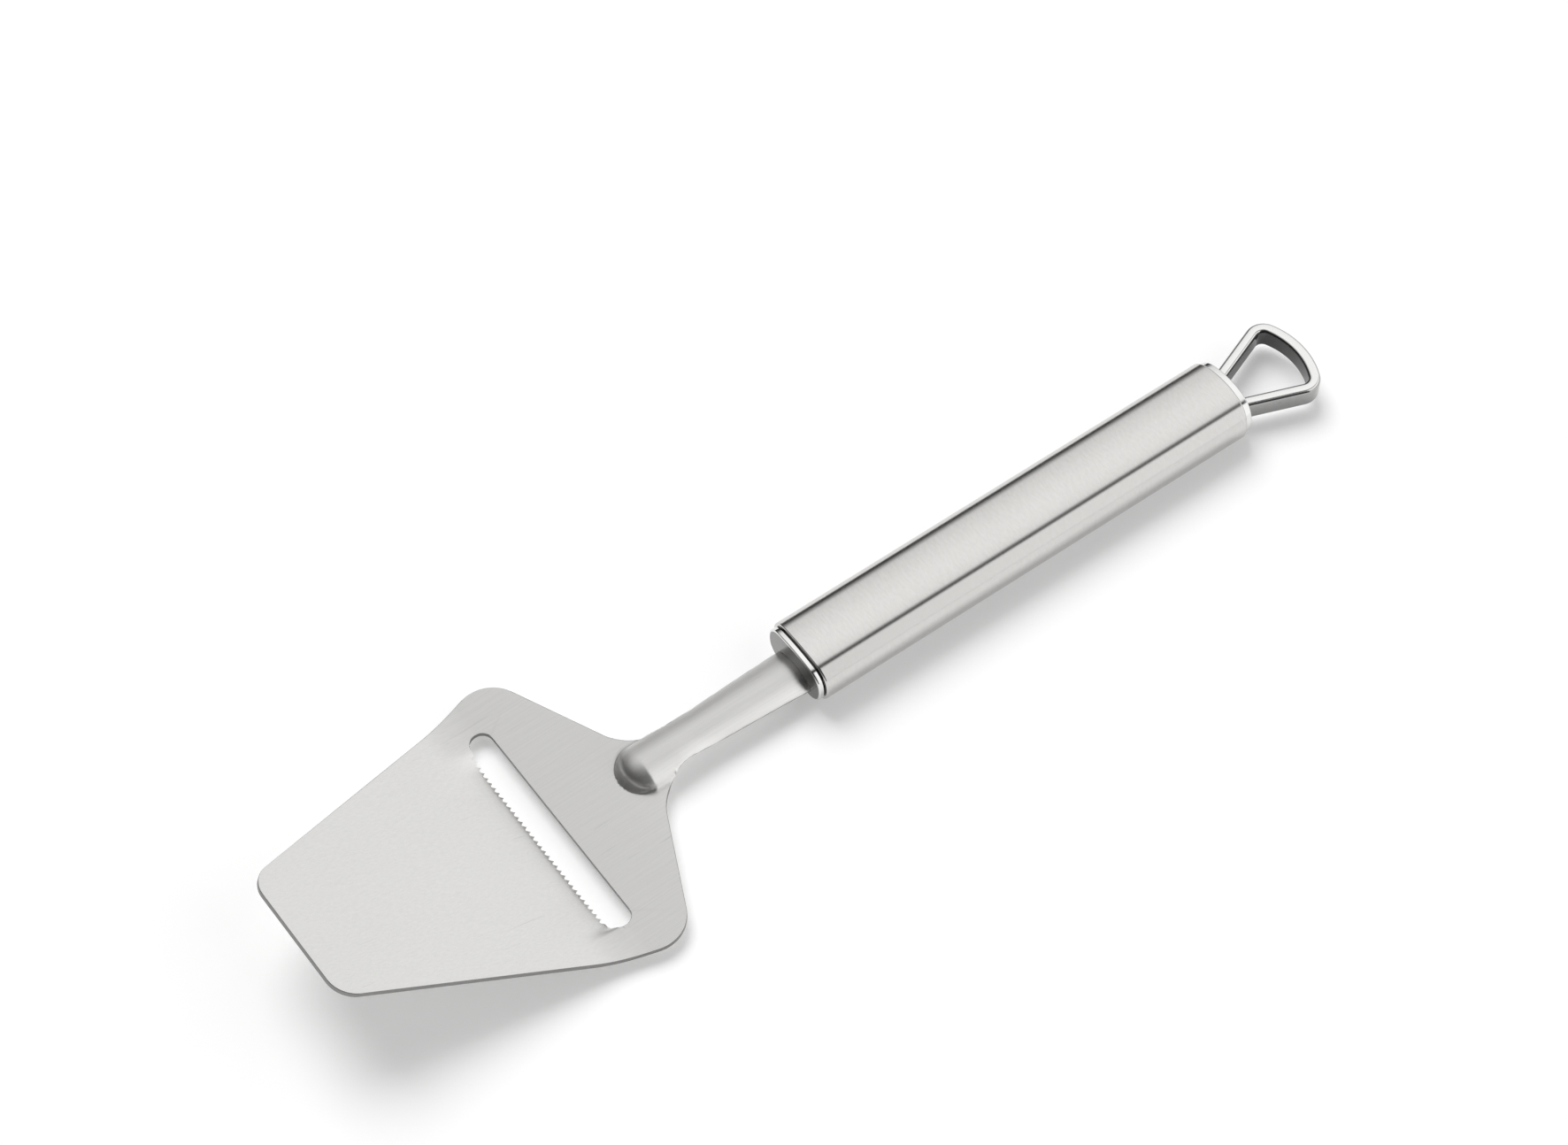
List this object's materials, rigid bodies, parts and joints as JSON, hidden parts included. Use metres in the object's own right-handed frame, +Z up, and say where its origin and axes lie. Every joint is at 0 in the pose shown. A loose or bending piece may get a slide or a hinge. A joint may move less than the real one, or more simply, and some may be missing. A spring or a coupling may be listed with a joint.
{
  "type": "cheese slicer",
  "caption": "Steel cheese slicer: tapered blade bent up at the front, serrated cutting slot, arched shank, capped oval tube handle and triangular hanging loop.",
  "frame": {"origin": "on the table, under the middle of the slicer's bounding box", "axes": "+X along the slicer from the blade's tip to the hanging loop, +Y across the blade, +Z up from the table"},
  "size_m": [0.2488, 0.0696, 0.0224],
  "materials": {
    "blade_steel": "satin, finely brushed along the blade",
    "tube_steel": "satin, finely brushed",
    "polished_steel": "polished",
    "weld_steel": "dull, as welded"
  },
  "bodies": {
    "root": {"blade": "blade_steel", "front_cap": "polished_steel", "handle_tube": "tube_steel", "rear_cap": "polished_steel", "hanging_loop": "polished_steel", "tang_weld": "weld_steel", "loop_weld_left": "weld_steel", "loop_weld_right": "weld_steel"}
  },
  "joints": []
}
